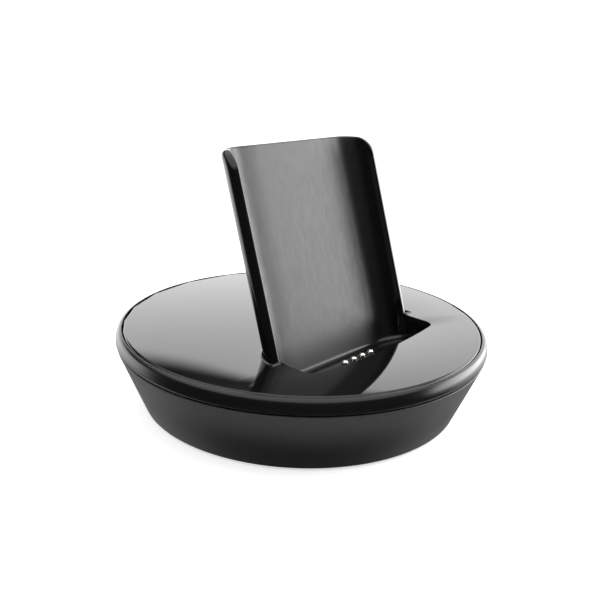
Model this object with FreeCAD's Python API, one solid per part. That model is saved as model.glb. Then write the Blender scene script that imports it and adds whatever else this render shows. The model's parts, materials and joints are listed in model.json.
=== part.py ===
import FreeCAD, Part
import math
import os

# Charging stand for a hair clipper: a weighted round base with a leaning cradle.
# Millimetres, +Z up. Origin: centre of the base on the surface that the feet rest on.
# The cradle opens towards -Y and leans back towards +Y.

V = FreeCAD.Vector
X_AXIS = V(1, 0, 0)
Y_AXIS = V(0, 1, 0)
Z_AXIS = V(0, 0, 1)

# ---------------------------------------------------------------- driving sizes
base_diameter = 90.0          # widest, at the trim ring
base_foot_diameter = 77.3     # bottom edge of the cone
plate_top_z = 19.2
overall_height = 62.3
foot_proud = 0.6              # gap under the housing

housing_wall = 2.0
ring_width = 1.45             # trim ring, seen from above
ring_groove = 0.35            # shadow gap between ring and housing
ring_nose_height = 3.4
ring_crown_drop = 0.1         # inner edge of the ring, below the plate's top
ring_nose_lower = 1.0         # widest point, above the ring's bottom
ring_nose_upper = 2.0         # where the lower round passes into the crown
ring_foot_round = 0.45
ring_shoulder_round = 0.3
ring_crown_reach = 0.75       # point on the crown, in from the widest
ring_crown_height = 2.85
ring_flange = 2.0             # hidden flange that the deck clamps
ring_flange_thickness = 0.9
edge_gap = 0.2                # round the plate, the deck and the bottom cover
fit_gap = 0.05                # between faces that seat on each other
solder_gap = 0.02             # under parts on a board, and under screw heads

plate_thickness = 1.6
plate_edge_round = 0.6        # polished round on the plate's outer edge
bead_width = 0.5              # raised bead on the plate, round the channel's foot
bead_height = 0.3
adhesive_thickness = 0.2
adhesive_margin = 1.0
deck_thickness = 2.0
deck_rim_thickness = 1.2

# cradle, in its own leaning frame: x across, w back from the rims, v up the channel
lean_angle = 18.4
rim_front_y = -14.2           # where the rims cross the plate's top
device_width = 45.0           # the clipper that stands in the cradle
device_clearance = 0.2        # each side
wing_depth = 5.4              # inside, from the back wall to the rims
channel_corner_radius = 6.6   # inside, where the back wall turns into the wings
cradle_wall = 2.2
wing_corner_radius = 4.0
pocket_depth = 6.0            # floor below the plate, measured up the channel
pocket_front_middle = 10.5    # bowed front edge, in front of the rims
pocket_front_side = 8.6
pocket_corner_radius = 2.6
pocket_wall = 1.8
pocket_floor_thickness = 1.4
pocket_floor_radius = 1.2
opening_clearance = 0.25      # cradle through plate and deck

flange_thickness = 1.8
flange_half_width = 24.0
flange_margin_front = 5.6
flange_margin_back = 8.0
cradle_boss_radius = 3.0
cradle_boss_height = 2.4
cradle_screw_x = 14.0

# contacts
contact_count = 4
contact_pitch = 3.2
contact_row_w = -2.0
contact_radius = 0.8
contact_proud = 1.5
contact_travel = 1.3
contact_collar_radius = 1.08
contact_collar_height = 0.8
running_clearance = 0.07
barrel_wall = 0.28
barrel_floor = 0.3
barrel_tail_radius = 0.35
barrel_tail_length = 1.3
spring_wire = 0.22
spring_coils = 5
spring_spare = 0.38           # left in the spring when a contact is pressed home
block_margin = 2.2            # block material round the outer barrels
block_depth = 7.2
block_ear_width = 4.4
block_ear_thickness = 2.1
contact_board_thickness = 0.8
contact_board_tail = 2.6      # board behind the block, for the leads

# bottom cover, ballast, feet
cover_thickness = 2.0
cover_seat_width = 1.3
cover_seat_height = 1.4
cover_boss_radius = 4.2
cover_boss_top_z = 4.4
cover_screw_x = 28.9
cover_screw_y = 12.6
deck_boss_radius = 3.0
foot_radius = 5.5
foot_thickness = 1.6
foot_circle_radius = 30.0
ballast_radius = 35.2
ballast_thickness = 2.8
ballast_boss_radius = 2.6
ballast_hole_gap = 0.4

# inlet and main board
inlet_z = 9.4
inlet_bore_radius = 1.8
inlet_bore_depth = 8.5
inlet_pin_radius = 0.65
inlet_pin_setback = 0.8       # pin's end, inside the mouth
inlet_nose_clearance = 0.1
inlet_seat_margin = 1.5       # of the thick pad, round the recess
inlet_seat_rise = 5.2         # pad's top, above the inlet's axis
inlet_nose_radius = 3.1
inlet_nose_length = 3.0
inlet_body_width = 7.4
inlet_body_height = 6.6
inlet_body_length = 8.2
inlet_recess_radius = 4.6
inlet_face_y = 40.4           # flat floor of the round recess in the housing
inlet_seat_thickness = 2.9
board_thickness = 1.2
board_half_width = 18.0
board_front_y = 4.0
board_gap_below_deck = 1.2
board_screw_x = 15.0
board_screw_front_y = 8.0
board_screw_back_y = 27.5
lead_radius = 0.6
lead_pitch = 2.4
header_wall = 0.4
header_setback = 0.6          # from the board's front edge
header_depth = 4.2
header_height = 4.2

# parts under the main board: (middle x, middle y, width, depth, height)
INDUCTOR = (-8.0, 17.0, 7.0, 7.0, 4.0)
REGULATOR = (0.0, 21.6, 5.2, 4.0, 1.5)
DIODE = (8.2, 22.9, 4.4, 2.6, 2.1)
CAPACITOR = (8.6, 15.0, 3.1, 5.8)     # (x, y, radius, height)
inductor_corner = 1.2
capacitor_edge = 0.4

# screws: (shank radius, head radius, head height)
SCREW_M2_5 = (1.25, 2.4, 1.2)
SCREW_M2 = (1.0, 1.9, 1.0)
SCREW_M1_6 = (0.8, 1.6, 0.9)
thread_gap = 0.05             # drawn in place of the cut thread
through_gap = 0.2

# ---------------------------------------------------------------- sizes that follow
base_radius = base_diameter / 2
plate_bottom_z = plate_top_z - plate_thickness
deck_top_z = plate_bottom_z - adhesive_thickness
deck_bottom_z = deck_top_z - deck_thickness
deck_rim_z = deck_top_z - deck_rim_thickness
ring_inner_radius = base_radius - ring_width
ring_bottom_z = plate_top_z - ring_nose_height
housing_top_z = ring_bottom_z - ring_groove
ring_flange_top_z = deck_rim_z - 2 * fit_gap
ring_flange_bottom_z = ring_flange_top_z - ring_flange_thickness
housing_step_z = ring_flange_bottom_z - fit_gap
housing_top_radius = base_radius - 0.25
housing_foot_radius = base_foot_diameter / 2
cone_slope = (housing_top_radius - housing_foot_radius) / (housing_top_z - foot_proud)
cone_wall = housing_wall * math.hypot(1, cone_slope)
cover_top_z = foot_proud + cover_thickness
cover_seat_radius = housing_foot_radius + cone_slope * cover_thickness - cone_wall
channel_half = device_width / 2 + device_clearance
corner_centre_w = wing_depth - channel_corner_radius
corner_centre_x = channel_half - math.sqrt(channel_corner_radius ** 2 - corner_centre_w ** 2)
ballast_bottom_z = cover_top_z + fit_gap
ballast_top_z = ballast_bottom_z + ballast_thickness
floor_v = -pocket_depth
floor_bottom_v = floor_v - pocket_floor_thickness
spring_solid_length = (spring_coils + 1) * spring_wire
collar_room = fit_gap + contact_collar_height + contact_travel
barrel_length = collar_room + spring_solid_length + spring_spare + barrel_floor
barrel_top_v = floor_bottom_v - fit_gap
barrel_bottom_v = barrel_top_v - barrel_length
barrel_inner_radius = contact_collar_radius + running_clearance
barrel_outer_radius = barrel_inner_radius + barrel_wall
collar_top_v = barrel_top_v - fit_gap
collar_bottom_v = collar_top_v - contact_collar_height
contact_board_top_v = barrel_bottom_v - fit_gap
contact_board_bottom_v = contact_board_top_v - contact_board_thickness
block_half = contact_pitch * (contact_count - 1) / 2 + barrel_outer_radius + block_margin / 2
ear_screw_x = block_half + block_ear_width / 2 - 0.2
flange_top_z = deck_bottom_z - fit_gap
flange_bottom_z = flange_top_z - flange_thickness
cradle_boss_bottom_z = flange_bottom_z - cradle_boss_height
board_top_z = deck_bottom_z - board_gap_below_deck
board_bottom_z = board_top_z - board_thickness
header_front_y = board_front_y + header_setback
inlet_seat_y = inlet_face_y - inlet_seat_thickness
inlet_body_front_y = inlet_seat_y - fit_gap
inlet_body_back_y = inlet_body_front_y - inlet_body_length
inlet_mouth_y = inlet_body_front_y + inlet_nose_length

tan_lean = math.tan(math.radians(lean_angle))
cos_lean = math.cos(math.radians(lean_angle))
CRADLE_FRAME = FreeCAD.Placement(
    V(0, rim_front_y, plate_top_z), FreeCAD.Rotation(X_AXIS, -lean_angle)
)
pocket_front_y = rim_front_y - pocket_front_middle / cos_lean
channel_back_y = rim_front_y + (wing_depth + cradle_wall) / cos_lean


# ---------------------------------------------------------------- helpers
def save(name, shape):
    shape.exportStep("parts/" + name + ".step")


def group(solids):
    return Part.makeCompound(solids)


def cone_radius(z):
    """Outer radius of the conical housing at a height."""
    return housing_foot_radius + cone_slope * (z - foot_proud)


def revolve(points):
    """Solid of revolution about Z from (radius, height) points."""
    outline = Part.makePolygon([V(r, 0, z) for r, z in points + points[:1]])
    return Part.Face(outline).revolve(V(0, 0, 0), Z_AXIS, 360)


def rod(radius, low, high, x=0.0, y=0.0):
    """Upright cylinder from one height to another."""
    return Part.makeCylinder(radius, high - low, V(x, y, low))


def block(x0, x1, y0, y1, z0, z1):
    return Part.makeBox(x1 - x0, y1 - y0, z1 - z0, V(x0, y0, z0))


def leaning(shape):
    """Moves a shape from the cradle's leaning frame into the row frame."""
    placed = shape.copy()
    placed.Placement = CRADLE_FRAME.multiply(shape.Placement)
    return placed


def screw_up(size, x, y, head_low, length):
    """Screw whose head is below and whose shank points up."""
    shank, head, height = size
    solid = rod(head, head_low, head_low + height, x, y)
    solid = solid.fuse(rod(shank, head_low + height, head_low + height + length, x, y))
    return solid.cut(cross_recess(head, x, y, head_low)).removeSplitter()


def screw_down(size, x, y, head_high, length):
    """Screw whose head is above and whose shank points down."""
    upright = screw_up(size, 0, 0, 0, length)
    upright.rotate(V(0, 0, 0), X_AXIS, 180)
    upright.translate(V(x, y, head_high))
    return upright


def cross_recess(head, x, y, head_low):
    """Cross-shaped driver recess, cut into the head from its outer face."""
    arm = head * 0.55
    slot = head * 0.14
    deep = head * 0.3
    one = block(x - arm, x + arm, y - slot, y + slot, head_low, head_low + deep)
    return one.fuse(block(x - slot, x + slot, y - arm, y + arm, head_low, head_low + deep))


def contact_positions():
    middle = (contact_count - 1) / 2
    return [(i - middle) * contact_pitch for i in range(contact_count)]


def cover_screw_positions():
    return [(sx * cover_screw_x, sy * cover_screw_y) for sx in (-1, 1) for sy in (-1, 1)]


def cradle_screw_positions():
    front = pocket_front_y - pocket_wall - cradle_boss_radius
    back = channel_back_y + cradle_boss_radius + 1.2
    return [(sx * cradle_screw_x, y) for sx in (-1, 1) for y in (front, back)]


def board_screw_positions():
    rows = (board_screw_front_y, board_screw_back_y)
    return [(sx * board_screw_x, y) for sx in (-1, 1) for y in rows]


def ballast_screw_positions():
    front = (0.0, pocket_front_y - 3.2)
    return [front, (-20.0, 3.0), (20.0, 3.0)]


def foot_positions():
    reach = foot_circle_radius * math.cos(math.radians(45))
    return [(-reach, -reach), (reach, -reach), (-reach, reach), (reach, reach)]


# ---------------------------------------------------------------- cradle outlines
def dock_prism(grow, low_v, high_v):
    """Clipper-shaped prism up the channel: round back corners and a bowed front edge."""
    radius = channel_corner_radius + grow
    half = corner_centre_x + math.sqrt(radius ** 2 - corner_centre_w ** 2)
    back = wing_depth + grow
    side = -(pocket_front_side + grow)
    middle = -(pocket_front_middle + grow)
    turn = corner_centre_x
    bend = turn + radius * math.sqrt(0.5)
    bend_w = corner_centre_w + radius * math.sqrt(0.5)
    edges = [
        Part.LineSegment(V(-half, side, 0), V(-half, 0, 0)),
        Part.Arc(V(-half, 0, 0), V(-bend, bend_w, 0), V(-turn, back, 0)),
        Part.LineSegment(V(-turn, back, 0), V(turn, back, 0)),
        Part.Arc(V(turn, back, 0), V(bend, bend_w, 0), V(half, 0, 0)),
        Part.LineSegment(V(half, 0, 0), V(half, side, 0)),
        Part.Arc(V(half, side, 0), V(0, middle, 0), V(-half, side, 0)),
    ]
    face = Part.Face(Part.Wire([edge.toShape() for edge in edges]))
    prism = face.extrude(V(0, 0, high_v - low_v))
    corners = [
        edge for edge in prism.Edges
        if abs(edge.BoundBox.YMax - side) < 1e-4 and edge.BoundBox.ZLength > 1
    ]
    prism = prism.makeFillet(pocket_corner_radius + grow, corners)
    prism.translate(V(0, 0, low_v))
    return prism


def channel_prism(grow, low_v, high_v, front_w=0.0):
    """The part of the same outline that lies behind the rims."""
    reach = channel_half + grow + 5
    behind = block(-reach, reach, front_w, wing_depth + grow + 5, low_v, high_v)
    return dock_prism(grow, low_v, high_v).common(behind)


def side_shape():
    """Side view of the wings, cut level with the stand and rounded at the top front."""
    top_v = (overall_height - plate_top_z) / cos_lean
    deep = wing_depth + cradle_wall + 5
    reach = channel_half + cradle_wall + 5
    low = 2 * floor_bottom_v
    corner = [V(-reach, 0, low), V(-reach, 0, top_v)]
    corner += [V(-reach, deep, top_v + deep * tan_lean), V(-reach, deep, low)]
    face = Part.Face(Part.makePolygon(corner + corner[:1]))
    solid = face.extrude(V(2 * reach, 0, 0))
    front_edge = [
        edge for edge in solid.Edges
        if edge.BoundBox.XLength > reach and abs(edge.BoundBox.ZMin - top_v) < 1e-4
        and edge.BoundBox.YMax < 1e-4
    ]
    return solid.makeFillet(wing_corner_radius, front_edge)


def cradle_opening(clearance):
    """What the plate needs cut away: the pocket in front, the channel walls behind."""
    span = 3 * pocket_depth
    pocket = dock_prism(0.1, -span, span)
    walls = channel_prism(cradle_wall + clearance, -span, span, -clearance)
    return leaning(pocket.fuse(walls))


def deck_opening(clearance):
    span = 3 * pocket_depth
    pocket = dock_prism(pocket_wall + clearance, -span, span)
    walls = channel_prism(cradle_wall + clearance, -span, span, -clearance)
    return leaning(pocket.fuse(walls))


# ---------------------------------------------------------------- base
def lower_housing():
    inner_top = housing_top_radius - 1.0
    seat = cover_seat_radius
    seat_top = cover_top_z + cover_seat_height
    points = [
        (housing_foot_radius - 0.5, foot_proud),
        (housing_foot_radius, foot_proud + 0.5),
        (housing_top_radius, housing_top_z),
        (inner_top, housing_top_z),
        (inner_top, housing_step_z),
        (cone_radius(housing_step_z) - cone_wall, housing_step_z),
        (cone_radius(seat_top) - cone_wall, seat_top),
        (seat - cover_seat_width, seat_top),
        (seat - cover_seat_width, cover_top_z),
        (seat, cover_top_z),
        (seat, foot_proud),
    ]
    shell = revolve(points)
    outside = revolve([
        (0, foot_proud), (housing_foot_radius, foot_proud),
        (housing_top_radius, housing_top_z), (0, housing_top_z),
    ])
    half = inlet_recess_radius + inlet_seat_margin
    seat_block = block(
        -half, half, inlet_seat_y, base_radius, inlet_z - half, inlet_z + inlet_seat_rise
    )
    shell = shell.fuse(seat_block.common(outside))
    recess_start = V(0, inlet_face_y, inlet_z)
    recess = Part.makeCylinder(inlet_recess_radius, base_radius, recess_start, Y_AXIS)
    hole_start = V(0, inlet_body_back_y, inlet_z)
    hole_radius = inlet_nose_radius + inlet_nose_clearance
    hole = Part.makeCylinder(hole_radius, base_radius, hole_start, Y_AXIS)
    return shell.cut(recess).cut(hole).removeSplitter()


def trim_ring():
    """Bullnose ring with a flat flange inside, which the deck's rim holds down."""
    inner = ring_inner_radius
    flange = inner - ring_flange
    top = V(inner, 0, plate_top_z - ring_crown_drop)
    corners = [
        top, V(inner, 0, ring_flange_top_z), V(flange, 0, ring_flange_top_z),
        V(flange, 0, ring_flange_bottom_z), V(inner, 0, ring_flange_bottom_z),
        V(inner, 0, ring_bottom_z), V(base_radius - ring_foot_round, 0, ring_bottom_z),
    ]
    widest = V(base_radius, 0, ring_bottom_z + ring_nose_lower)
    shoulder = V(base_radius - ring_shoulder_round, 0, ring_bottom_z + ring_nose_upper)
    crown = V(base_radius - ring_crown_reach, 0, ring_bottom_z + ring_crown_height)
    edges = [Part.LineSegment(a, b) for a, b in zip(corners, corners[1:])]
    edges.append(Part.Arc(corners[-1], widest, shoulder))
    edges.append(Part.Arc(shoulder, crown, top))
    face = Part.Face(Part.Wire([edge.toShape() for edge in edges]))
    return face.revolve(V(0, 0, 0), Z_AXIS, 360)


def top_plate():
    radius = ring_inner_radius - edge_gap
    disc = rod(radius, plate_bottom_z, plate_top_z)
    middle_z = (plate_bottom_z + plate_top_z) / 2
    top_edge = [edge for edge in disc.Edges if edge.Closed and edge.BoundBox.ZMin > middle_z]
    disc = disc.makeFillet(plate_edge_round, top_edge)
    span = 3 * pocket_depth
    outer = opening_clearance + bead_width
    bead = leaning(channel_prism(cradle_wall + outer, -span, span, -outer))
    reach = base_radius
    level = block(
        -reach, reach, -reach, reach, plate_top_z - bead_height, plate_top_z + bead_height
    )
    bead = bead.common(level)
    return disc.fuse(bead).cut(cradle_opening(opening_clearance)).removeSplitter()


def plate_adhesive():
    radius = ring_inner_radius - edge_gap - adhesive_margin
    disc = rod(radius, deck_top_z, plate_bottom_z)
    return disc.cut(deck_opening(opening_clearance + adhesive_margin / 2))


def upper_deck():
    radius = ring_inner_radius - edge_gap
    step = ring_inner_radius - ring_flange - edge_gap
    deck = revolve([
        (0, deck_bottom_z), (step, deck_bottom_z), (step, deck_rim_z),
        (radius, deck_rim_z), (radius, deck_top_z), (0, deck_top_z),
    ])
    for x, y in cover_screw_positions():
        deck = deck.fuse(rod(deck_boss_radius, cover_boss_top_z + 0.05, deck_bottom_z, x, y))
    for x, y in board_screw_positions():
        deck = deck.fuse(rod(SCREW_M2[1] + 0.5, board_top_z + 0.02, deck_bottom_z, x, y))
    deck = deck.cut(deck_opening(opening_clearance))
    for x, y in cover_screw_positions():
        deck = deck.cut(rod(SCREW_M2_5[0] + thread_gap, 0, deck_bottom_z - 1.0, x, y))
    for x, y in board_screw_positions():
        deck = deck.cut(rod(SCREW_M2[0] + thread_gap, 0, deck_bottom_z + 1.2, x, y))
    for x, y in cradle_screw_positions():
        head_low = deck_top_z - SCREW_M2_5[2] - 0.04
        deck = deck.cut(rod(SCREW_M2_5[0] + through_gap, 0, deck_top_z, x, y))
        deck = deck.cut(rod(SCREW_M2_5[1] + through_gap, head_low, deck_top_z + 1, x, y))
    return deck.removeSplitter()


def bottom_cover():
    cover = rod(cover_seat_radius - edge_gap, foot_proud, cover_top_z)
    for x, y in cover_screw_positions():
        cover = cover.fuse(rod(cover_boss_radius, cover_top_z, cover_boss_top_z, x, y))
    for x, y in ballast_screw_positions():
        cover = cover.fuse(rod(ballast_boss_radius, cover_top_z, ballast_top_z - 0.1, x, y))
    for x, y in cover_screw_positions():
        head_top = foot_proud + 0.2 + SCREW_M2_5[2]
        cover = cover.cut(rod(SCREW_M2_5[0] + through_gap, 0, cover_boss_top_z, x, y))
        cover = cover.cut(rod(SCREW_M2_5[1] + through_gap, 0, head_top, x, y))
    for x, y in ballast_screw_positions():
        cover = cover.cut(rod(SCREW_M2[0] + thread_gap, foot_proud + 0.8, ballast_top_z, x, y))
    for x, y in foot_positions():
        cover = cover.cut(rod(foot_radius + edge_gap, 0, foot_thickness, x, y))
    return cover.removeSplitter()


def ballast_weight():
    disc = rod(ballast_radius, ballast_bottom_z, ballast_top_z)
    for x, y in cover_screw_positions():
        disc = disc.cut(rod(cover_boss_radius + ballast_hole_gap, 0, ballast_top_z, x, y))
    for x, y in ballast_screw_positions():
        disc = disc.cut(rod(ballast_boss_radius + 0.15, 0, ballast_top_z, x, y))
    return disc


def rubber_foot(x, y):
    foot = rod(foot_radius, 0, foot_thickness - 0.02, x, y)
    rim = [edge for edge in foot.Edges if edge.BoundBox.ZMax < 0.1 and edge.Closed]
    return foot.makeFillet(0.3, rim)


# ---------------------------------------------------------------- cradle
def cradle():
    top = 2 * overall_height
    channel = channel_prism(cradle_wall, floor_bottom_v, top)
    channel = leaning(channel.common(side_shape()))

    pocket = leaning(dock_prism(pocket_wall, floor_bottom_v, pocket_depth))
    reach = base_radius
    below_plate = block(-reach, reach, -reach, reach, -reach, plate_bottom_z - 0.05)
    pocket = pocket.common(below_plate)

    flange_front = pocket_front_y - pocket_wall - flange_margin_front
    flange_back = channel_back_y + flange_margin_back - 2.4
    flange = block(
        -flange_half_width, flange_half_width, flange_front, flange_back,
        flange_bottom_z, flange_top_z
    )
    uprights = [edge for edge in flange.Edges if edge.BoundBox.ZLength > flange_thickness - 0.1]
    flange = flange.makeFillet(4.0, uprights)
    for x, y in cradle_screw_positions():
        flange = flange.fuse(rod(cradle_boss_radius, cradle_boss_bottom_z, flange_bottom_z, x, y))

    room = 0.3
    front = contact_row_w - block_depth / 2 - room
    back = contact_row_w + block_depth / 2 + room
    side_reach = block_half + block_ear_width + room
    under_floor = block(-side_reach, side_reach, front, back, 3 * floor_bottom_v, floor_bottom_v)
    body = channel.fuse(pocket).fuse(flange).cut(leaning(under_floor))
    for side in (-1, 1):
        boss = rod(1.9, block_ear_top_v(), floor_bottom_v, side * ear_screw_x, contact_row_w)
        body = body.fuse(leaning(boss))

    cavity = dock_prism(0, floor_v, top)
    floor_edges = [edge for edge in cavity.Edges if edge.BoundBox.ZMax < floor_v + 1e-4]
    cavity = cavity.makeFillet(pocket_floor_radius, floor_edges)
    body = body.cut(leaning(cavity))

    for x in contact_positions():
        hole = rod(contact_radius + running_clearance, 2 * floor_bottom_v, 0, x, contact_row_w)
        body = body.cut(leaning(hole))
    for side in (-1, 1):
        pilot = rod(
            SCREW_M1_6[0] + thread_gap, 2 * floor_bottom_v, floor_bottom_v + 0.4,
            side * ear_screw_x, contact_row_w
        )
        body = body.cut(leaning(pilot))
    for x, y in cradle_screw_positions():
        body = body.cut(rod(SCREW_M2_5[0] + thread_gap, 0, flange_top_z + 0.5, x, y))
    return body.removeSplitter()


# ---------------------------------------------------------------- contacts
def block_ear_top_v():
    return barrel_bottom_v + block_ear_thickness + 0.05


def contact_block():
    front = contact_row_w - block_depth / 2
    back = contact_row_w + block_depth / 2
    reach = block_half + block_ear_width
    body = block(-block_half, block_half, front, back, barrel_bottom_v, barrel_top_v)
    ears_top = barrel_bottom_v + block_ear_thickness
    body = body.fuse(block(-reach, reach, front, back, barrel_bottom_v, ears_top))
    for x in contact_positions():
        body = body.cut(rod(barrel_outer_radius, 2 * barrel_bottom_v, 0, x, contact_row_w))
    for side in (-1, 1):
        hole = rod(
            SCREW_M1_6[0] + through_gap, 2 * barrel_bottom_v, 0, side * ear_screw_x, contact_row_w
        )
        body = body.cut(hole)
    return leaning(body.removeSplitter())


def contact_pin(x):
    """Domed plunger with a collar that stops it under the pocket floor."""
    tip_v = floor_v + contact_proud
    shoulder_v = tip_v - contact_radius
    shaft = rod(contact_radius, collar_bottom_v, shoulder_v, x, contact_row_w)
    dome = Part.makeSphere(contact_radius, V(x, contact_row_w, shoulder_v))
    collar = rod(contact_collar_radius, collar_bottom_v, collar_top_v, x, contact_row_w)
    return leaning(shaft.fuse(dome).fuse(collar).removeSplitter())


def pin_barrel(x):
    tube = rod(barrel_outer_radius, barrel_bottom_v, barrel_top_v, x, contact_row_w)
    bore = rod(barrel_inner_radius, barrel_bottom_v + barrel_floor, 0, x, contact_row_w)
    tail_low = barrel_bottom_v - barrel_tail_length
    tail = rod(barrel_tail_radius, tail_low, barrel_bottom_v, x, contact_row_w)
    return leaning(tube.cut(bore).fuse(tail).removeSplitter())


def helix(radius, height, turns):
    """Rising coil about Z, as quarter-turn arcs that follow one another."""
    def point(quarters):
        angle = quarters * math.pi / 2
        return V(
            radius * math.cos(angle), radius * math.sin(angle), height * quarters / (4 * turns)
        )

    arcs = [Part.Arc(point(i), point(i + 0.5), point(i + 1)) for i in range(4 * turns)]
    return Part.Wire([arc.toShape() for arc in arcs])


def pin_spring(x):
    """Coil spring that fills the barrel below the collar."""
    low = barrel_bottom_v + barrel_floor + spring_wire / 2 + 0.01
    high = collar_bottom_v - spring_wire / 2 - 0.01
    radius = contact_collar_radius - spring_wire / 2 - 0.06
    section = Part.Wire(Part.makeCircle(spring_wire / 2, V(radius, 0, 0), Y_AXIS))
    coil = helix(radius, high - low, spring_coils).makePipeShell([section], True, False)
    coil.translate(V(x, contact_row_w, low))
    return leaning(coil)


def contact_board():
    reach = block_half + block_ear_width
    front = contact_row_w - block_depth / 2
    back = contact_row_w + block_depth / 2 + contact_board_tail
    board = block(-reach, reach, front, back, contact_board_bottom_v, contact_board_top_v)
    for x in contact_positions():
        hole = rod(barrel_tail_radius + 0.08, 3 * floor_bottom_v, 0, x, contact_row_w)
        board = board.cut(hole)
    for side in (-1, 1):
        hole = rod(
            SCREW_M1_6[0] + through_gap, 3 * floor_bottom_v, 0, side * ear_screw_x, contact_row_w
        )
        board = board.cut(hole)
    return leaning(board)


def block_screws():
    head_low = contact_board_bottom_v - SCREW_M1_6[2] - 0.02
    length = floor_bottom_v - contact_board_bottom_v
    return group([
        leaning(screw_up(SCREW_M1_6, side * ear_screw_x, contact_row_w, head_low, length))
        for side in (-1, 1)
    ])


# ---------------------------------------------------------------- inlet and main board
def power_jack():
    half = inlet_body_width / 2
    low = inlet_z - inlet_body_height / 2
    high = board_bottom_z - 0.02
    front = inlet_body_front_y
    body = block(-half, half, inlet_body_back_y, front, low, high)
    nose = Part.makeCylinder(inlet_nose_radius, inlet_nose_length, V(0, front, inlet_z), Y_AXIS)
    bore_start = V(0, inlet_mouth_y - inlet_bore_depth, inlet_z)
    bore = Part.makeCylinder(inlet_bore_radius, inlet_bore_depth, bore_start, Y_AXIS)
    through = inlet_mouth_y - inlet_body_back_y
    pin_start = V(0, inlet_body_back_y, inlet_z)
    pin_hole = Part.makeCylinder(inlet_pin_radius, through, pin_start, Y_AXIS)
    return body.fuse(nose).cut(bore).cut(pin_hole).removeSplitter()


def jack_centre_pin():
    length = inlet_mouth_y - inlet_pin_setback - inlet_body_back_y
    pin = Part.makeCylinder(inlet_pin_radius, length, V(0, inlet_body_back_y, inlet_z), Y_AXIS)
    front_edge = [
        edge for edge in pin.Edges
        if edge.Closed and edge.BoundBox.YMin > inlet_body_back_y + length / 2
    ]
    return pin.makeFillet(inlet_pin_radius * 0.5, front_edge)


def main_board():
    back = inlet_seat_y - 1.6
    board = block(
        -board_half_width, board_half_width, board_front_y, back, board_bottom_z, board_top_z
    )
    for x, y in board_screw_positions():
        board = board.cut(rod(SCREW_M2[0] + through_gap, 0, board_top_z, x, y))
    return board


def board_screws():
    head_low = board_bottom_z - SCREW_M2[2] - 0.02
    length = deck_bottom_z + 1.0 - board_bottom_z
    return group([screw_up(SCREW_M2, x, y, head_low, length) for x, y in board_screw_positions()])


def under_board(x, y, width, depth, height):
    """Box-shaped component below the board, from its middle and its size."""
    x0, x1, y0, y1 = x - width / 2, x + width / 2, y - depth / 2, y + depth / 2
    top = board_bottom_z - solder_gap
    return block(x0, x1, y0, y1, top - height, top)


def power_inductor():
    core = under_board(*INDUCTOR)
    uprights = [edge for edge in core.Edges if edge.BoundBox.ZLength > INDUCTOR[4] / 2]
    return core.makeFillet(inductor_corner, uprights)


def filter_capacitor():
    x, y, radius, height = CAPACITOR
    top = board_bottom_z - solder_gap
    can = rod(radius, top - height, top, x, y)
    ends = [edge for edge in can.Edges if edge.Closed and edge.BoundBox.ZLength < height / 2]
    return can.makeFillet(capacitor_edge, ends)


def regulator_chip():
    return under_board(*REGULATOR)


def output_diode():
    return under_board(*DIODE)


def wire_header():
    width = lead_pitch * contact_count + 2 * header_wall
    middle = header_front_y + header_depth / 2
    return under_board(0, middle, width, header_depth, header_height)


def lead_path(x, header_x):
    """Solder point on the contact board, under the pocket's back edge, into the header."""
    start_w = contact_row_w + block_depth / 2 + contact_board_tail / 2
    start = CRADLE_FRAME.multVec(V(x, start_w, contact_board_top_v + 0.01))
    rise = CRADLE_FRAME.multVec(V(x, start_w, contact_board_top_v + 1.3))
    header_z = board_bottom_z - 2.2
    low = V((x + header_x) / 2, channel_back_y - 0.8, rise.z - 0.3)
    approach = V(header_x, board_front_y - 3.0, header_z)
    end = V(header_x, header_front_y, header_z)
    return [start, rise, low, approach, end]


def bent_tube(points, radius):
    """Round tube along straight runs joined by tangent arcs."""
    edges = []
    here = points[0]
    for before, corner, after in zip(points, points[1:], points[2:]):
        to_start = (before - corner).normalize()
        to_end = (after - corner).normalize()
        turn = math.pi - to_start.getAngle(to_end)
        shorter = min((before - corner).Length, (after - corner).Length)
        arc_radius = 0.45 * shorter / math.tan(turn / 2)
        tangent = 0.45 * shorter
        arc_start = corner + to_start * tangent
        arc_end = corner + to_end * tangent
        inward = (to_start + to_end).normalize()
        centre = corner + inward * math.hypot(tangent, arc_radius)
        arc_middle = centre - inward * arc_radius
        edges.append(Part.LineSegment(here, arc_start).toShape())
        edges.append(Part.Arc(arc_start, arc_middle, arc_end).toShape())
        here = arc_end
    edges.append(Part.LineSegment(here, points[-1]).toShape())
    direction = points[1] - points[0]
    section = Part.Wire(Part.makeCircle(radius, points[0], direction))
    return Part.Wire(edges).makePipeShell([section], True, False)


def lead_wires():
    middle = (contact_count - 1) / 2
    tubes = []
    for i, x in enumerate(contact_positions()):
        tubes.append(bent_tube(lead_path(x, (i - middle) * lead_pitch), lead_radius))
    return group(tubes)


# ---------------------------------------------------------------- other screws
def cover_screws():
    head_low = foot_proud + 0.18
    return group([screw_up(SCREW_M2_5, x, y, head_low, 9.0) for x, y in cover_screw_positions()])


def cradle_screws():
    head_high = deck_top_z - 0.02
    length = deck_top_z - SCREW_M2_5[2] - cradle_boss_bottom_z
    return group([
        screw_down(SCREW_M2_5, x, y, head_high, length) for x, y in cradle_screw_positions()
    ])


def ballast_screws():
    """Wide pan heads that clamp the ballast to the bottom cover."""
    shank, head, height = SCREW_M2
    wide = (shank, ballast_boss_radius + 1.4, height)
    head_high = ballast_top_z + 0.02 + height
    length = ballast_top_z - foot_proud - 1.0
    return group([
        screw_down(wide, x, y, head_high, length) for x, y in ballast_screw_positions()
    ])


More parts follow.
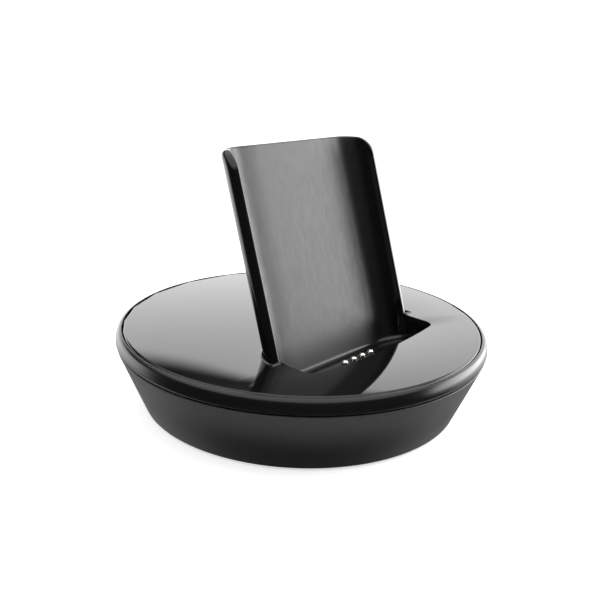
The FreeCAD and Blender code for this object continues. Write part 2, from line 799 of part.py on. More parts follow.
# ---------------------------------------------------------------- all pieces
def build():
    pieces = {
        "lower_housing": lower_housing(),
        "trim_ring": trim_ring(),
        "top_plate": top_plate(),
        "plate_adhesive": plate_adhesive(),
        "upper_deck": upper_deck(),
        "cradle": cradle(),
        "contact_block": contact_block(),
        "contact_board": contact_board(),
        "block_screws": block_screws(),
        "bottom_cover": bottom_cover(),
        "ballast_weight": ballast_weight(),
        "power_jack": power_jack(),
        "jack_centre_pin": jack_centre_pin(),
        "main_board": main_board(),
        "power_inductor": power_inductor(),
        "filter_capacitor": filter_capacitor(),
        "regulator_chip": regulator_chip(),
        "output_diode": output_diode(),
        "wire_header": wire_header(),
        "lead_wires": lead_wires(),
        "board_screws": board_screws(),
        "cover_screws": cover_screws(),
        "cradle_screws": cradle_screws(),
        "ballast_screws": ballast_screws(),
    }
    for number, x in enumerate(contact_positions(), 1):
        pieces["contact_pin_%d" % number] = contact_pin(x)
        pieces["pin_barrel_%d" % number] = pin_barrel(x)
        pieces["pin_spring_%d" % number] = pin_spring(x)
    for number, (x, y) in enumerate(foot_positions(), 1):
        pieces["rubber_foot_%d" % number] = rubber_foot(x, y)
    return pieces


os.makedirs("parts", exist_ok=True)
for node, solid in build().items():
    save(node, solid)
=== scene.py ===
import json
import math

import bmesh
import bpy
from mathutils import Matrix, Vector


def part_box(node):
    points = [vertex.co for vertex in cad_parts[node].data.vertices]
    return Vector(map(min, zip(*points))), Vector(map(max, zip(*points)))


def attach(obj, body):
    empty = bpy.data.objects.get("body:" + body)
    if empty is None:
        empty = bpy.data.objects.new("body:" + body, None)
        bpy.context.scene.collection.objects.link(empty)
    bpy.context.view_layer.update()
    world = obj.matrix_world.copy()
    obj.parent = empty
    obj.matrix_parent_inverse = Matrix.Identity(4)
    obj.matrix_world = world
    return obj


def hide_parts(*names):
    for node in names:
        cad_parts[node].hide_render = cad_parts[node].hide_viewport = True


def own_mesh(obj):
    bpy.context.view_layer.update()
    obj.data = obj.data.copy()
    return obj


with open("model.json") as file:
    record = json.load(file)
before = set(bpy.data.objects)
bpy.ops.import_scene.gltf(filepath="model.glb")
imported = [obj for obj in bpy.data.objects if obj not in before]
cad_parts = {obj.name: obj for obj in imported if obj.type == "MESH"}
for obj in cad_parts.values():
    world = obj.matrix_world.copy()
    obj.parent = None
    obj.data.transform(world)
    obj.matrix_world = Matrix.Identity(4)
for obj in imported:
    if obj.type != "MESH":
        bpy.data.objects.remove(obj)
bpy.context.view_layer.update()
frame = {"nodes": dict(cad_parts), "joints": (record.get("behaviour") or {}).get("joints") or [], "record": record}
record = frame["record"]
MM = 0.001

# ------------------------------------------------------------------ sizes read from the frame
press_axis = frame["joints"][0]["axis"]
LEAN = math.atan2(-press_axis[1], -press_axis[2])
SIN, COS, TAN = math.sin(LEAN), math.cos(LEAN), math.tan(LEAN)

ring_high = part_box("trim_ring")[1]
plate_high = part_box("top_plate")[1]
cradle_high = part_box("cradle")[1]
housing_low, housing_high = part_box("lower_housing")
adhesive_low, adhesive_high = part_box("plate_adhesive")

CROWN_DROP = 0.1 * MM          # the ring's inner edge, below the plate's top
PLATE_TOP = ring_high.z + CROWN_DROP
PLATE_BOTTOM = adhesive_high.z
ring_points = frame["nodes"]["trim_ring"].data.vertices
BASE_RADIUS = max(Vector((point.co.x, point.co.y)).length for point in ring_points)
dock = next(m for m in record["mounts"] if m["name"] == "device_dock")
dock_at = Vector(dock.get("pos_m") or dock["frame"]["pos_m"])
CONTACT_ROW = -2.0 * MM
POCKET_FLOOR = -6.0 * MM
RIM_FRONT = dock_at.y - POCKET_FLOOR * SIN - CONTACT_ROW * COS

# ------------------------------------------------------------------ sizes of the mouldings
CHANNEL_HALF = 22.7 * MM
WING_DEPTH = 5.4 * MM
CORNER_RADIUS = 6.6 * MM
CORNER_W = WING_DEPTH - CORNER_RADIUS
CORNER_X = CHANNEL_HALF - math.sqrt(CORNER_RADIUS ** 2 - CORNER_W ** 2)
WALL = 2.2 * MM
TOP_CORNER = 4.0 * MM
INNER_ROUND = 0.35 * MM
OUTER_ROUND = 1.55 * MM
PLATE_ROUND = 0.6 * MM
BEAD_WIDTH = 0.5 * MM
BEAD_HEIGHT = 0.3 * MM
POCKET_MIDDLE = -10.5 * MM
POCKET_SIDE = -8.6 * MM
POCKET_CORNER = 2.6 * MM
POCKET_WALL = 1.8 * MM
POCKET_FILLET = 1.2 * MM
POCKET_THICK = 1.4 * MM
OPENING_GAP = 0.25 * MM
CONTACT_RADIUS = 0.8 * MM
CONTACT_PROUD = 1.5 * MM       # tip, above the pocket's floor
COLLAR_RADIUS = 1.08 * MM
COLLAR_HEIGHT = 0.8 * MM
COLLAR_DROP = 0.9 * MM         # collar's foot, below the pocket's underside
COLLAR_BREAK = 0.06 * MM
PIN_HOLE_RADIUS = 0.87 * MM
HOUSING_FOOT_RADIUS = 77.3 / 2 * MM
HOUSING_WALL = 2.16 * MM
INLET_HEIGHT = 9.4 * MM
INLET_FACE = 40.4 * MM         # flat floor of the recess
INLET_RECESS_RADIUS = 4.6 * MM
INLET_HOLE_RADIUS = 3.2 * MM
INLET_PAD_HALF = 6.1 * MM      # thick pad inside the wall, round the recess
INLET_PAD_LOW, INLET_PAD_HIGH = 3.4 * MM, 14.4 * MM
RING_HEIGHT = 3.4 * MM
FLANGE_REACH = 2.0 * MM
FLANGE_THICK = 0.9 * MM
STEPS = 288                    # round the base


def lean(x, w, v):
    """A point in the cradle's leaning frame: x across, w back from the rims, v up the channel."""
    return Vector((x, RIM_FRONT + v * SIN + w * COS, PLATE_TOP + v * COS - w * SIN))


# ------------------------------------------------------------------ shader maths
class Flow:
    """A value in a node tree; Python operators on it add Math nodes."""

    def __init__(self, tree, socket):
        self.tree = tree
        self.socket = socket

    def maths(self, operation, *values):
        return node(self.tree, "ShaderNodeMath", {"operation": operation}, *values)

    def __add__(self, other):
        return self.maths("ADD", self, other)

    def __sub__(self, other):
        return self.maths("SUBTRACT", self, other)

    def __rsub__(self, other):
        return self.maths("SUBTRACT", other, self)

    def __mul__(self, other):
        return self.maths("MULTIPLY", self, other)

    __radd__ = __add__
    __rmul__ = __mul__


def node(tree, kind, settings=None, *values, output=0, **named):
    """Adds a node: settings first, then values or links for its sockets, by order or name."""
    made = tree.nodes.new(kind)
    for key, value in (settings or {}).items():
        if key == "stops":
            ramp = made.color_ramp
            while len(ramp.elements) < len(value):
                ramp.elements.new(0.5)
            for element, (place, shade) in zip(ramp.elements, value):
                element.position = place
                element.color = (shade, shade, shade, 1)
        else:
            setattr(made, key, value)
    feeds = list(zip(made.inputs, values))
    for name, value in named.items():
        feeds.append((made.inputs[name.replace("_", " ")], value))
    for socket, value in feeds:
        if value is None:
            continue
        if isinstance(value, Flow):
            tree.links.new(value.socket, socket)
        else:
            socket.default_value = value
    return Flow(tree, made.outputs[output])


class Finish:
    """A procedural material for one of the stand's finishes."""

    def __init__(self, name, **fixed):
        self.material = bpy.data.materials.new(name)
        self.material.use_nodes = True
        self.tree = self.material.node_tree
        self.shader = self.tree.nodes["Principled BSDF"]
        for key, value in fixed.items():
            self.shader.inputs[key.replace("_", " ")].default_value = value
        self.place = node(self.tree, "ShaderNodeTexCoord", output=3)

    def add(self, kind, settings=None, *values, **named):
        return node(self.tree, kind, settings, *values, **named)

    def along(self, x=1.0, y=1.0, z=1.0, tilt=0.0):
        """The place on the piece, stretched along its axes."""
        turned = self.add(
            "ShaderNodeMapping", {"vector_type": "POINT"}, self.place,
            Rotation=(tilt, 0, 0), Scale=(x, y, z),
        )
        return turned

    def noise(self, scale, detail=2.0, place=None, rough=0.5):
        return self.add(
            "ShaderNodeTexNoise", {}, Vector=place or self.place,
            Scale=scale, Detail=detail, Roughness=rough,
        )

    def cells(self, scale, feature="F1"):
        return self.add(
            "ShaderNodeTexVoronoi", {"feature": feature}, Vector=self.place, Scale=scale
        )

    def span(self, value, low, high, to_low=0.0, to_high=1.0):
        """Carries a value from one range to another, smoothly and within its ends."""
        return self.add(
            "ShaderNodeMapRange", {"interpolation_type": "SMOOTHSTEP"}, value,
            low, high, to_low, to_high,
        )

    def tint(self, mask, dark, light):
        """A colour between two, by a mask."""
        ends = [end if isinstance(end, Flow) else (*end, 1) for end in (dark, light)]
        return self.add(
            "ShaderNodeMix", {"data_type": "RGBA"}, mask, None, None, None, None, None,
            *ends, output=2,
        )

    def bump(self, height, strength, distance):
        return self.add(
            "ShaderNodeBump", {}, Strength=strength, Distance=distance, Height=height
        )

    def wear(self, **flows):
        """Links what changes over the surface to the shader."""
        for key, flow in flows.items():
            self.tree.links.new(flow.socket, self.shader.inputs[key.replace("_", " ")])
        return self


def grey(value):
    return (value, value, value)


# ------------------------------------------------------------------ finishes
def make_plate_gloss():
    """Polished black plate: a mirror with a faint haze, hairline scratches and dust."""
    f = Finish("plate_gloss", IOR=1.5)
    haze = f.noise(55, 3)
    hair = f.noise(900, 2, f.along(1.0, 0.03, 1.0, 0.0))
    scratches = f.span(hair, 0.66, 0.74)
    dust = 1 - f.span(f.cells(1400), 0.02, 0.09)
    colour = f.tint(haze, (0.0030, 0.0031, 0.0034), (0.0052, 0.0053, 0.0056))
    rough = f.span(haze, 0.3, 0.7, 0.022, 0.045) + scratches * 0.05 + dust * 0.10
    wavy = f.noise(38, 1)
    return f.wear(
        Base_Color=colour, Roughness=rough, Normal=f.bump(wavy + scratches * 0.02, 0.05, 0.00012)
    )


def make_cradle_gloss():
    """Black moulding: polished all over but for the satin back of the channel, whose middle is painted light grey
    as a painted reflection and near-black towards the wings as their painted shadow.
    """
    f = Finish("cradle_gloss", IOR=1.5)
    split = f.add("ShaderNodeSeparateXYZ", {}, f.along(1, 1, 1, LEAN)).socket.node.outputs
    across, depth, height = (Flow(f.tree, socket) for socket in split)
    base = lean(0, 0, 0)
    depth = depth - (base.y * COS - base.z * SIN)
    height = height - (base.y * SIN + base.z * COS)
    streak = f.noise(1100, 2, f.along(1.0, 1.0, 0.03, LEAN))
    cloud = f.noise(60, 3)
    grain = f.noise(2600, 2)
    # painted shadow edge: near the foot the painted light middle reaches further towards the wings
    shadow_edge_flare = f.span(height, 8 * MM, 1 * MM, 0.0, 2.2 * MM)
    reach = across.maths("ABSOLUTE", across) - shadow_edge_flare
    inside = f.span(depth, 0.6 * MM, 3.4 * MM) * f.span(depth, 5.9 * MM, 5.6 * MM)
    inside = inside * f.span(height, -5.4 * MM, -4.8 * MM)
    back = f.span(across.maths("ABSOLUTE", across), 22.6 * MM, 20.0 * MM) * inside
    # painted reflection mask: the middle of the back wall, fading out where the wings' painted shadow begins
    middle = f.span(reach, 16.0 * MM, 9.5 * MM) * inside
    satin = f.span(streak, 0.3, 0.7, 0.40, 0.46) + (cloud - 0.5) * 0.04
    gloss = f.span(cloud, 0.3, 0.7, 0.09, 0.13)
    rough = back * satin + (1 - back) * gloss
    # painted light: light grey on the back wall's middle is a painted reflection of the bright panel; near-black
    # towards the wings is painted shadow
    shade = f.tint(streak * 0.4 + cloud * 0.6, grey(0.060), grey(0.078))
    colour = f.tint(middle, grey(0.0028), shade)
    relief = grain * 0.6 + streak * 0.4
    return f.wear(Base_Color=colour, Roughness=rough, Normal=f.bump(relief, 0.06, 0.00003))


def make_ring_satin():
    """Satin black ring: even fine grain, a little brighter where fingers polish it."""
    f = Finish("ring_satin", IOR=1.5)
    grain = f.noise(3400, 2)
    cloud = f.noise(45, 3)
    rough = f.span(cloud, 0.3, 0.7, 0.20, 0.25) + (grain - 0.5) * 0.04
    colour = f.tint(cloud, grey(0.0028), grey(0.0050))
    return f.wear(Base_Color=colour, Roughness=rough, Normal=f.bump(grain, 0.12, 0.00003))


def make_housing_plastic():
    """Matt black moulding with a spark-eroded grain, and painted shade: darker towards the foot, lighter towards
    the top.
    """
    f = Finish("housing_plastic", IOR=1.5)
    grain = f.noise(2300, 3, rough=0.6)
    pits = f.cells(2900)
    cloud = f.noise(36, 3)
    relief = grain + f.span(pits, 0.0, 0.6) * 0.35
    rough = f.span(cloud, 0.3, 0.7, 0.40, 0.48) + (grain - 0.5) * 0.08
    split = f.add("ShaderNodeSeparateXYZ", {}, f.along(1, 1, 1, 0.0)).socket.node.outputs
    # painted shade: the base colour is darker towards the foot and lighter towards the top
    painted_shade_height = f.span(Flow(f.tree, split[2]) + (cloud - 0.5) * 0.002, 4 * MM, 14 * MM)
    speckle = f.span(grain, 0.35, 0.7)
    shaded_foot_grey = f.tint(speckle, grey(0.006), grey(0.010))
    lit_top_grey = f.tint(speckle, grey(0.032), grey(0.044))
    return f.wear(
        Base_Color=f.tint(painted_shade_height, shaded_foot_grey, lit_top_grey), Roughness=rough,
        Normal=f.bump(relief, 0.28, 0.00004),
    )


def make_moulded(name, dark, light, low, high, scale=1500):
    """Plain moulded plastic for the inner parts and the underside."""
    f = Finish(name, IOR=1.5)
    grain = f.noise(scale, 3)
    cloud = f.noise(60, 3)
    rough = f.span(cloud, 0.3, 0.7, low, high) + (grain - 0.5) * 0.1
    colour = f.tint(cloud * 0.6 + grain * 0.4, dark, light)
    return f.wear(Base_Color=colour, Roughness=rough, Normal=f.bump(grain, 0.25, 0.00005))


def make_rubber():
    f = Finish("foot_rubber", IOR=1.45)
    grain = f.noise(2000, 4, rough=0.7)
    specks = f.span(f.cells(1800), 0.05, 0.3)
    rough = f.span(grain, 0.3, 0.7, 0.62, 0.82)
    colour = f.tint(specks * 0.5 + grain * 0.5, grey(0.010), grey(0.030))
    return f.wear(Base_Color=colour, Roughness=rough, Normal=f.bump(grain, 0.4, 0.00008))


def make_metal(name, dark, light, low, high, lines=900, squeeze=0.06):
    """Bare or plated metal with fine drawing lines and a slight tarnish."""
    f = Finish(name, Metallic=1.0)
    drawn = f.noise(lines, 3, f.along(1, 1, squeeze))
    tarnish = f.noise(320, 4)
    rough = f.span(drawn, 0.3, 0.7, low, high) + f.span(tarnish, 0.55, 0.75, 0.0, 0.12)
    colour = f.tint(tarnish, light, dark)
    return f.wear(Base_Color=colour, Roughness=rough, Normal=f.bump(drawn, 0.12, 0.00002))


def make_board():
    f = Finish("circuit_board", IOR=1.5)
    weave, across = (
        f.add(
            "ShaderNodeTexWave", {"wave_type": "BANDS", "bands_direction": way},
            Vector=f.place, Scale=900.0,
        )
        for way in "XY"
    )
    tracks = f.span(f.cells(260, "DISTANCE_TO_EDGE"), 0.04, 0.07)
    colour = f.tint(tracks, (0.012, 0.085, 0.035), (0.006, 0.045, 0.020))
    relief = (weave + across) * 0.2 + (1 - tracks)
    rough = f.span(f.noise(300, 2), 0.3, 0.7, 0.28, 0.4)
    return f.wear(Base_Color=colour, Roughness=rough, Normal=f.bump(relief, 0.2, 0.00004))


finishes = {
    "plate_gloss": make_plate_gloss(),
    "cradle_gloss": make_cradle_gloss(),
    "ring_satin": make_ring_satin(),
    "housing_plastic": make_housing_plastic(),
    "cover_plastic": make_moulded("cover_plastic", grey(0.012), grey(0.026), 0.45, 0.6),
    "inner_plastic": make_moulded("inner_plastic", grey(0.02), grey(0.04), 0.4, 0.55),
    "jack_plastic": make_moulded("jack_plastic", grey(0.01), grey(0.02), 0.25, 0.35),
    "insulator": make_moulded("insulator", (0.55, 0.52, 0.45), (0.68, 0.65, 0.58), 0.35, 0.5),
    "header_nylon": make_moulded("header_nylon", (0.70, 0.68, 0.62), (0.82, 0.80, 0.75), 0.35, 0.5),
    "lead_insulation": make_moulded(
        "lead_insulation", (0.30, 0.015, 0.012), (0.45, 0.03, 0.02), 0.35, 0.45
    ),
    "adhesive_film": make_moulded(
        "adhesive_film", (0.62, 0.58, 0.48), (0.74, 0.70, 0.6), 0.5, 0.65, 900
    ),
    "chip_resin": make_moulded("chip_resin", grey(0.01), grey(0.02), 0.5, 0.6),
    "ferrite": make_moulded("ferrite", grey(0.03), grey(0.06), 0.6, 0.75, 2600),
    "capacitor_can": make_metal("capacitor_can", (0.50, 0.50, 0.52), (0.72, 0.72, 0.74), 0.2, 0.32),
    "foot_rubber": make_rubber(),
    "screw_steel": make_metal("screw_steel", (0.32, 0.31, 0.30), (0.58, 0.57, 0.56), 0.22, 0.36),
    "ballast_steel": make_metal("ballast_steel", (0.28, 0.27, 0.26), (0.50, 0.49, 0.48), 0.3, 0.45),
    "contact_metal": make_metal(
        "contact_metal", (0.78, 0.74, 0.66), (0.93, 0.90, 0.85), 0.10, 0.2, 2500, 0.3
    ),
    "barrel_brass": make_metal("barrel_brass", (0.62, 0.42, 0.16), (0.83, 0.62, 0.28), 0.2, 0.32),
    "spring_steel": make_metal("spring_steel", (0.42, 0.42, 0.43), (0.68, 0.68, 0.70), 0.18, 0.3),
    "circuit_board": make_board(),
}


# ------------------------------------------------------------------ mesh helpers
def piece(name, mesh, body, finish, stands_for=(), sharp=32.0):
    """A finished object from a mesh: smooth with sharp edges, riding on its body."""
    mesh.shade_smooth()
    mesh.set_sharp_from_angle(angle=math.radians(sharp))
    mesh.materials.clear()
    mesh.materials.append(finishes[finish].material)
    made = bpy.data.objects.new(name, mesh)
    bpy.context.scene.collection.objects.link(made)
    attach(made, body)
    if stands_for:
        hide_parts(*stands_for)
    return made


def skin(name, loops, around=True, along=False, caps=False):
    """Mesh whose quads join equal loops of points; around closes each loop, along the series."""
    bm = bmesh.new()
    rows = [[bm.verts.new(p) for p in loop] for loop in loops]
    count = len(rows[0])
    series = list(zip(rows, rows[1:] + rows[:1])) if along else list(zip(rows, rows[1:]))
    for low, high in series:
        for i in range(count if around else count - 1):
            j = (i + 1) % count
            bm.faces.new((low[i], low[j], high[j], high[i]))
    if caps:
        bm.faces.new(rows[0][::-1])
        bm.faces.new(rows[-1])
    bmesh.ops.remove_doubles(bm, verts=bm.verts, dist=1e-7)
    bmesh.ops.recalc_face_normals(bm, faces=bm.faces)
    mesh = bpy.data.meshes.new(name)
    bm.to_mesh(mesh)
    bm.free()
    return mesh


def rounded(corners, steps=6):
    """Closed outline from (a, b, radius) corners, each rounded to its radius."""
    line = []
    for i, (a, b, radius) in enumerate(corners):
        here = Vector((a, b))
        if radius <= 0:
            line.append(here)
            continue
        before = (Vector(corners[i - 1][:2]) - here).normalized()
        after = (Vector(corners[(i + 1) % len(corners)][:2]) - here).normalized()
        half = before.angle(after) / 2
        centre = here + (before + after).normalized() * (radius / math.sin(half))
        start = here + before * (radius / math.tan(half)) - centre
        end = here + after * (radius / math.tan(half)) - centre
        sweep = start.angle_signed(end)
        for k in range(steps + 1):
            turned = start.copy()
            turned.rotate(Matrix.Rotation(-sweep * k / steps, 2))
            line.append(centre + turned)
    return line


def turned_mesh(name, outline, place=None, steps=STEPS):
    """Closed solid of revolution from an outline of (radius, height)."""
    place = place or (lambda x, y, z: Vector((x, y, z)))
    loops = []
    for i in range(steps):
        angle = 2 * math.pi * i / steps
        c, s = math.cos(angle), math.sin(angle)
        loops.append([place(max(r, 0.0) * c, max(r, 0.0) * s, z) for r, z in outline])
    return skin(name, loops, around=True, along=True)


def combined(mesh, cutters, operation):
    """The mesh joined with, or cut by, other meshes."""
    main = bpy.data.objects.new("joining", mesh)
    bpy.context.scene.collection.objects.link(main)
    helpers = []
    for cutter in cutters:
        helper = bpy.data.objects.new("cutting", cutter)
        bpy.context.scene.collection.objects.link(helper)
        helpers.append(helper)
        step = main.modifiers.new("step", "BOOLEAN")
        step.operation = operation
        step.solver = "EXACT"
        step.object = helper
    graph = bpy.context.evaluated_depsgraph_get()
    made = bpy.data.meshes.new_from_object(main.evaluated_get(graph))
    for extra in [main, *helpers]:
        bpy.data.objects.remove(extra)
    return made


def circle(radius, steps):
    """Points round a circle, as (across, up)."""
    angles = [2 * math.pi * i / steps for i in range(steps)]
    return [(radius * math.cos(angle), radius * math.sin(angle)) for angle in angles]


def tube(radius, start, end, steps=96):
    """Plain round cutter along Y from one depth to another, round (x, z)."""
    (x, y0, z), y1 = start, end
    loops = [[Vector((x + a, y, z + b)) for a, b in circle(radius, steps)] for y in (y0, y1)]
    return skin("cutter", loops, caps=True)


# ------------------------------------------------------------------ base
def housing():
    """Conical bowl with the round recess of the power inlet in its rear wall."""
    foot, top = housing_low.z, housing_high.z
    wide = housing_high.x
    slope = (wide - HOUSING_FOOT_RADIUS) / (top - foot)
    narrow = wide - slope * (top - foot)
    wall = HOUSING_WALL

    def cone(z):
        return narrow + slope * (z - foot)

    outline = rounded([
        (narrow, foot, 0.5 * MM),
        (wide, top, 0.22 * MM),
        (wide - 1.0 * MM, top, 0.2 * MM),
        (wide - 1.0 * MM, top - 1.0 * MM, 0),
        (cone(top - 1.0 * MM) - wall, top - 1.0 * MM, 0),
        (cone(foot + 3.4 * MM) - wall, foot + 3.4 * MM, 0),
        (cone(foot + 3.4 * MM) - wall - 1.6 * MM, foot + 3.4 * MM, 0),
        (narrow - 2.6 * MM, foot + 2.0 * MM, 0),
        (narrow - 1.34 * MM, foot + 2.0 * MM, 0),
        (narrow - 1.34 * MM, foot, 0.15 * MM),
    ])
    shell = turned_mesh("housing_shell", outline)
    inlet = Vector((0, 0, INLET_HEIGHT))
    seat_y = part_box("power_jack")[1].y - 3.0 * MM
    corners = (
        (-INLET_PAD_HALF, INLET_PAD_LOW), (INLET_PAD_HALF, INLET_PAD_LOW),
        (INLET_PAD_HALF, INLET_PAD_HIGH), (-INLET_PAD_HALF, INLET_PAD_HIGH),
    )
    pad = skin("pad", [
        [Vector((x, y, z)) for x, z in corners] for y in (seat_y + 0.05 * MM, 41.2 * MM)
    ], caps=True)
    core = turned_mesh("core", rounded([
        (0, foot + 3.0 * MM, 0), (cone(foot + 3.0 * MM) - 0.6 * MM, foot + 3.0 * MM, 0),
        (cone(top - 0.5 * MM) - 0.6 * MM, top - 0.5 * MM, 0), (0, top - 0.5 * MM, 0),
    ]))
    pad = combined(pad, [core], "INTERSECT")
    shell = combined(shell, [pad], "UNION")
    recess = tube(INLET_RECESS_RADIUS, (inlet.x, INLET_FACE, inlet.z), 60 * MM)
    hole = tube(INLET_HOLE_RADIUS, (inlet.x, 30 * MM, inlet.z), 60 * MM)
    shell = combined(shell, [recess, hole], "DIFFERENCE")
    return piece("lower_housing_shell", shell, "stand", "housing_plastic", ["lower_housing"])


def ring():
    """Satin bullnose ring, with the flat flange inside that the deck holds down."""
    inner = plate_high.x + 0.2 * MM
    low, top = PLATE_TOP - RING_HEIGHT, PLATE_TOP - CROWN_DROP
    outer = BASE_RADIUS
    nose = [
        (inner, top), (inner + 0.25 * MM, top - 0.02 * MM), (outer - 0.86 * MM, top - 0.17 * MM),
        (outer - 0.56 * MM, top - 0.46 * MM), (outer - 0.34 * MM, top - 0.88 * MM),
        (outer - 0.16 * MM, top - 1.42 * MM), (outer - 0.05 * MM, top - 1.98 * MM),
        (outer, top - 2.45 * MM), (outer - 0.08 * MM, top - 2.85 * MM),
        (outer - 0.26 * MM, low + 0.13 * MM), (outer - 0.5 * MM, low),
    ]
    fine = []
    for i in range(len(nose) - 1):
        before = Vector(nose[max(i - 1, 0)])
        here, after = Vector(nose[i]), Vector(nose[i + 1])
        beyond = Vector(nose[min(i + 2, len(nose) - 1)])
        for k in range(4):
            t = k / 4
            fine.append(0.5 * (
                2 * here + (after - before) * t
                + (2 * before - 5 * here + 4 * after - beyond) * t * t
                + (3 * here - before - 3 * after + beyond) * t ** 3
            ))
    fine.append(Vector(nose[-1]))
    flange_top = adhesive_low.z - 1.3 * MM
    flange_low = flange_top - FLANGE_THICK
    fine += [Vector(p) for p in (
        (inner, low), (inner, flange_low), (inner - FLANGE_REACH, flange_low),
        (inner - FLANGE_REACH, flange_top), (inner, flange_top),
    )]
    mesh = turned_mesh("trim_ring_bullnose", fine)
    return piece("trim_ring_bullnose", mesh, "stand", "ring_satin", ["trim_ring"])


# ------------------------------------------------------------------ outlines in the leaning frame
def bowed_front(grow, steps=28):
    """Front edge of the pocket from its right corner to its left one, corners rounded."""
    half = half_width(grow)
    side, middle = POCKET_SIDE - grow, POCKET_MIDDLE - grow
    bow = side - middle
    curve = (half * half + bow * bow) / (2 * bow)
    reach = half - 3.6 * MM
    arc = []
    for i in range(steps + 1):
        x = reach - 2 * reach * i / steps
        arc.append((x, middle + curve - math.sqrt(curve * curve - x * x), 0))
    radius = POCKET_CORNER + grow
    corners = [(half, 0.0, 0), (half, side, radius), *arc, (-half, side, radius), (-half, 0.0, 0)]
    return rounded(corners, 10)[1:-1]


def half_width(grow):
    """Half the outline's width where its sides meet the channel."""
    return CORNER_X + math.sqrt((CORNER_RADIUS + grow) ** 2 - CORNER_W ** 2)


def back_arcs(grow, steps=18):
    """Channel outline from its left side round the back to its right side."""
    radius = CORNER_RADIUS + grow
    first = math.asin(-CORNER_W / radius)
    turn = [first + (math.pi / 2 - first) * i / steps for i in range(steps + 1)]
    side = [
        Vector((CORNER_X + radius * math.cos(a), CORNER_W + radius * math.sin(a))) for a in turn
    ]
    back = [Vector((-CORNER_X + 2 * CORNER_X * i / 16, WING_DEPTH + grow)) for i in range(1, 16)]
    return [Vector((-p.x, p.y)) for p in side] + back + side[::-1]


def sides(grow, low, high, count, left):
    """Straight side of the pocket, as points between its front corner and the channel."""
    x = half_width(grow)
    line = [Vector((x, low + (high - low) * i / count)) for i in range(1, count)]
    return [Vector((-p.x, p.y)) for p in line] if left else line[::-1]


# ------------------------------------------------------------------ plate
def plate():
    """Polished plate: a round on its outer edge, a fine raised bead round the channel's foot."""
    def opening(grow):
        rise = -OPENING_GAP - grow
        front = bowed_front(0.1 * MM + min(grow, 0.16 * MM))
        back = back_arcs(WALL + OPENING_GAP + grow)
        inner_x = half_width(0.1 * MM + min(grow, 0.16 * MM))
        outer_x = half_width(WALL + OPENING_GAP + grow)
        left = [Vector((-inner_x, rise - 1.2 * MM)), Vector((-inner_x, rise))]
        for i in range(1, 5):
            left.append(Vector((-inner_x + (inner_x - outer_x) * i / 5, rise)))
        left.append(Vector((-outer_x, rise)))
        right = [Vector((-p.x, p.y)) for p in left[::-1]]
        beaded = [0] * (len(front) + 1) + [1] * (len(left) + len(back) + len(right) - 2) + [0]
        return front + left + back + right, beaded

    def at(grow, z, lift=0.0):
        outline, beaded = opening(grow)
        loop = []
        for p, high in zip(outline, beaded):
            level = z + lift * high
            loop.append(Vector((p.x, RIM_FRONT + (level - PLATE_TOP) * TAN + p.y / COS, level)))
        return loop

    edge = 0.16 * MM
    hub = Vector((0.0, RIM_FRONT + 0.5 * MM / COS))
    inner_top = at(BEAD_WIDTH, PLATE_TOP)

    def rim(radius, z):
        loop = []
        for p in inner_top:
            ray = (Vector((p.x, p.y)) - hub).normalized()
            b = hub.dot(ray)
            far = -b + math.sqrt(b * b - hub.length_squared + radius * radius)
            loop.append(Vector((hub.x + ray.x * far, hub.y + ray.y * far, z)))
        return loop

    radius = plate_high.x
    loops = [
        at(0, PLATE_BOTTOM), at(0, PLATE_TOP - edge),
        at(edge * 0.3, PLATE_TOP - 0.1 * edge, BEAD_HEIGHT * 0.9),
        at(BEAD_WIDTH * 0.45, PLATE_TOP, BEAD_HEIGHT),
        at(BEAD_WIDTH * 0.75, PLATE_TOP, BEAD_HEIGHT * 0.75),
        at(BEAD_WIDTH * 0.93, PLATE_TOP, BEAD_HEIGHT * 0.35), inner_top,
    ]
    for k in range(9):
        angle = math.pi / 2 * k / 8
        out = radius - PLATE_ROUND * (1 - math.sin(angle))
        loops.append(rim(out, PLATE_TOP - PLATE_ROUND * (1 - math.cos(angle))))
    loops.append(rim(radius, PLATE_BOTTOM))
    mesh = skin("top_plate_polished", loops, around=True, along=True)
    return piece("top_plate_polished", mesh, "stand", "plate_gloss", ["top_plate"], 20.0)


